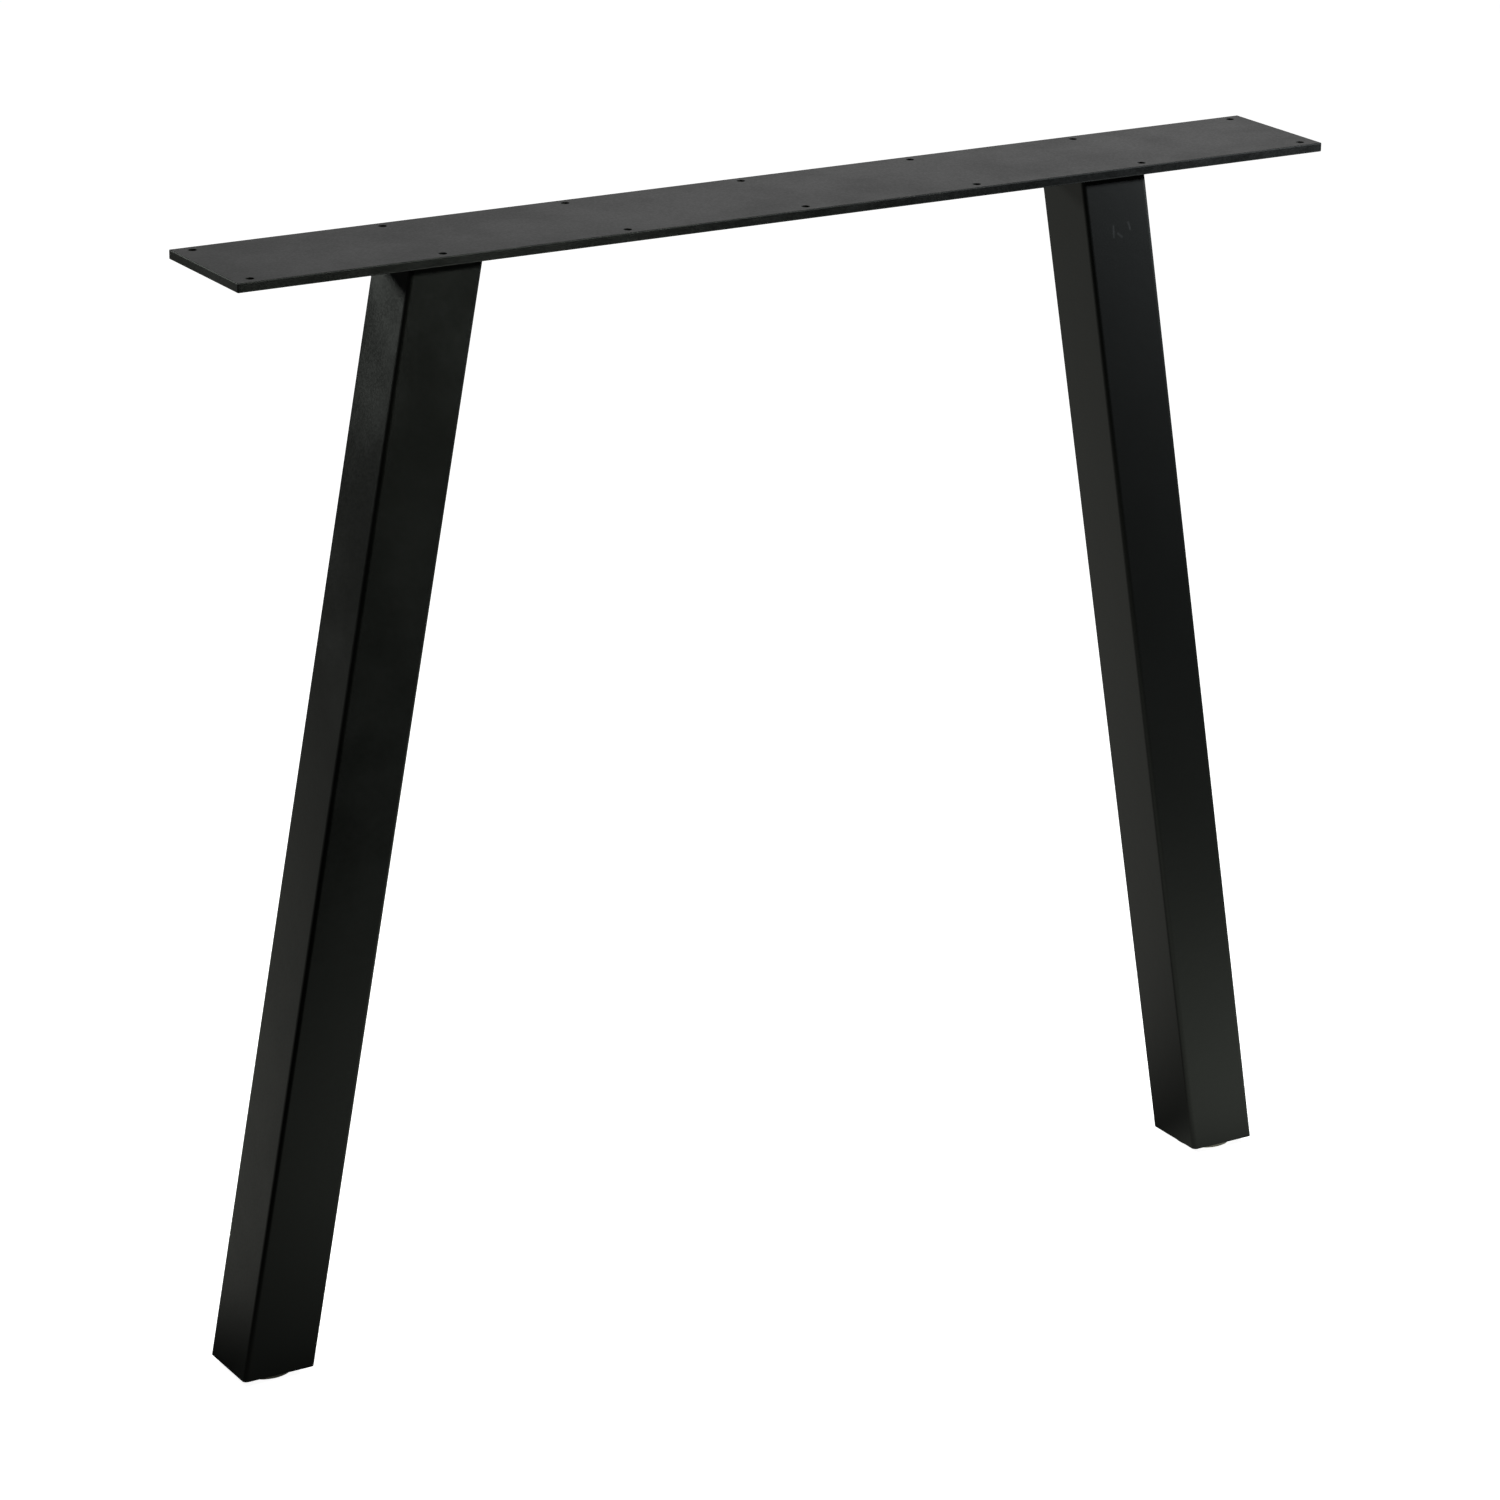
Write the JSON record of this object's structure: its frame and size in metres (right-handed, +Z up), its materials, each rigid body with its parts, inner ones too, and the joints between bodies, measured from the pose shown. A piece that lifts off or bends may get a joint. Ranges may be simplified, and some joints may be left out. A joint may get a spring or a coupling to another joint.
{
  "type": "trestle table leg",
  "caption": "Welded steel trestle leg for a table: a drilled flat top plate on two square tubes that splay to the floor, with felt pads under the feet.",
  "frame": {"origin": "on the floor, midway between the two feet and under the middle of the top plate", "axes": "+X along the top plate, +Y across it, +Z up; the plate's top face looks along +Z"},
  "size_m": [0.8, 0.095, 0.735],
  "materials": {
    "powder_coated_steel": "fine-textured matt black powder coat",
    "felt": "pressed wool felt, off-white"
  },
  "bodies": {
    "root": {"top_plate": "powder_coated_steel", "left_leg_tube": "powder_coated_steel", "right_leg_tube": "powder_coated_steel", "left_front_weld": "powder_coated_steel", "left_back_weld": "powder_coated_steel", "right_front_weld": "powder_coated_steel", "right_back_weld": "powder_coated_steel", "left_end_plate": "powder_coated_steel", "right_end_plate": "powder_coated_steel", "left_felt_pad": "felt", "right_felt_pad": "felt"}
  },
  "joints": []
}
